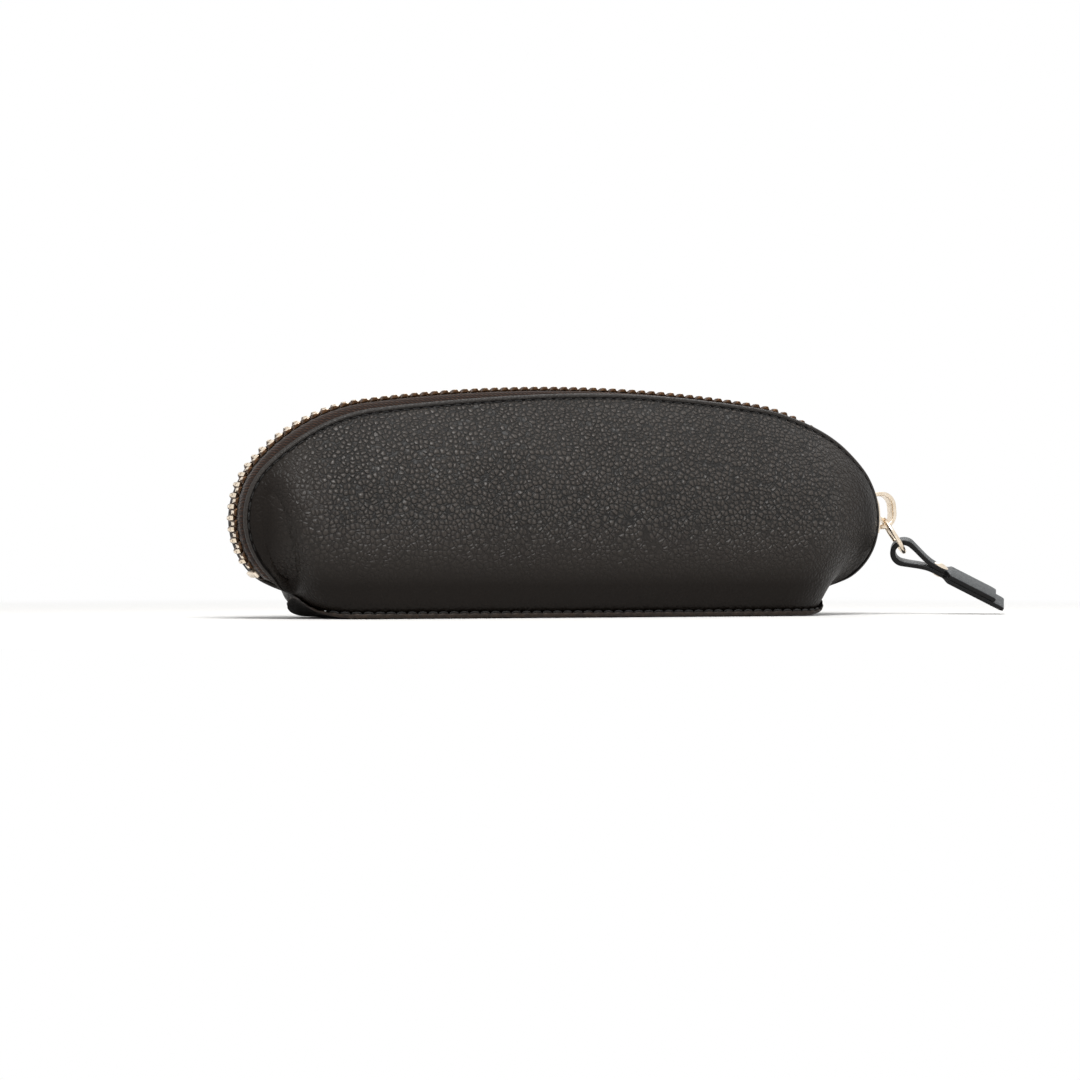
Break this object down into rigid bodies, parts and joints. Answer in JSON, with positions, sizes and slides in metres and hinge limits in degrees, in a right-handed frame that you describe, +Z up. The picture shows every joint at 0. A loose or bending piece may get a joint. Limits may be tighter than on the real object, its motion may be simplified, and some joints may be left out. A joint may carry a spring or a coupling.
{
  "type": "fountain pen case",
  "caption": "Soft half-moon pen case of black pebbled leather on a flat base, closed over its arched top by a metal zip with a slider, ring and folded leather puller.",
  "frame": {"origin": "middle of the base's flat underside", "axes": "+X along the case towards the slider's end, -Y the front, +Z up"},
  "size_m": [0.2147, 0.0432, 0.0589],
  "materials": {
    "panel_leather": "pebbled, satin",
    "base_leather": "smooth, satin",
    "puller_leather": "fine grain, satin",
    "board": "matte",
    "lining_cloth": "woven",
    "zip_tape": "woven twill",
    "zip_metal": "polished, pale gold",
    "slider_metal": "polished, pale gold",
    "thread": "twisted, waxed"
  },
  "bodies": {
    "case": {"front_panel": "panel_leather", "back_panel": "panel_leather", "base_panel": "base_leather", "base_board": "board", "base_lining": "lining_cloth", "front_lining": "lining_cloth", "back_lining": "lining_cloth", "front_zip_tape": "zip_tape", "back_zip_tape": "zip_tape", "front_zip_teeth": "zip_metal", "back_zip_teeth": "zip_metal", "zip_top_stops": "zip_metal", "zip_bottom_stop": "zip_metal", "front_hem_thread": "thread", "back_hem_thread": "thread", "base_seam_thread": "thread"},
    "slider": {"slider_body": "slider_metal", "slider_bail": "slider_metal"},
    "ring": {"pull_ring": "slider_metal"},
    "puller": {"puller_strap": "puller_leather", "puller_rivet": "slider_metal"}
  },
  "joints": [
    {"name": "slider_travel", "type": "hinge", "parent": "case", "child": "slider", "pos_m": [0.0677, 0, 0.0252], "axis": [0, -1, 0], "range_deg": [0, 30], "deforming": ["front_zip_teeth", "back_zip_teeth"]},
    {"name": "ring_swing", "type": "hinge", "parent": "slider", "child": "ring", "pos_m": [0.09284, 0, 0.02529], "axis": [0.3746, 0.9272, 0], "range_deg": [-75, 25]},
    {"name": "puller_swing", "type": "hinge", "parent": "ring", "child": "puller", "pos_m": [0.09819, -0.00216, 0.0164], "axis": [0.3746, 0.9272, 0], "range_deg": [-50, 45]}
  ]
}
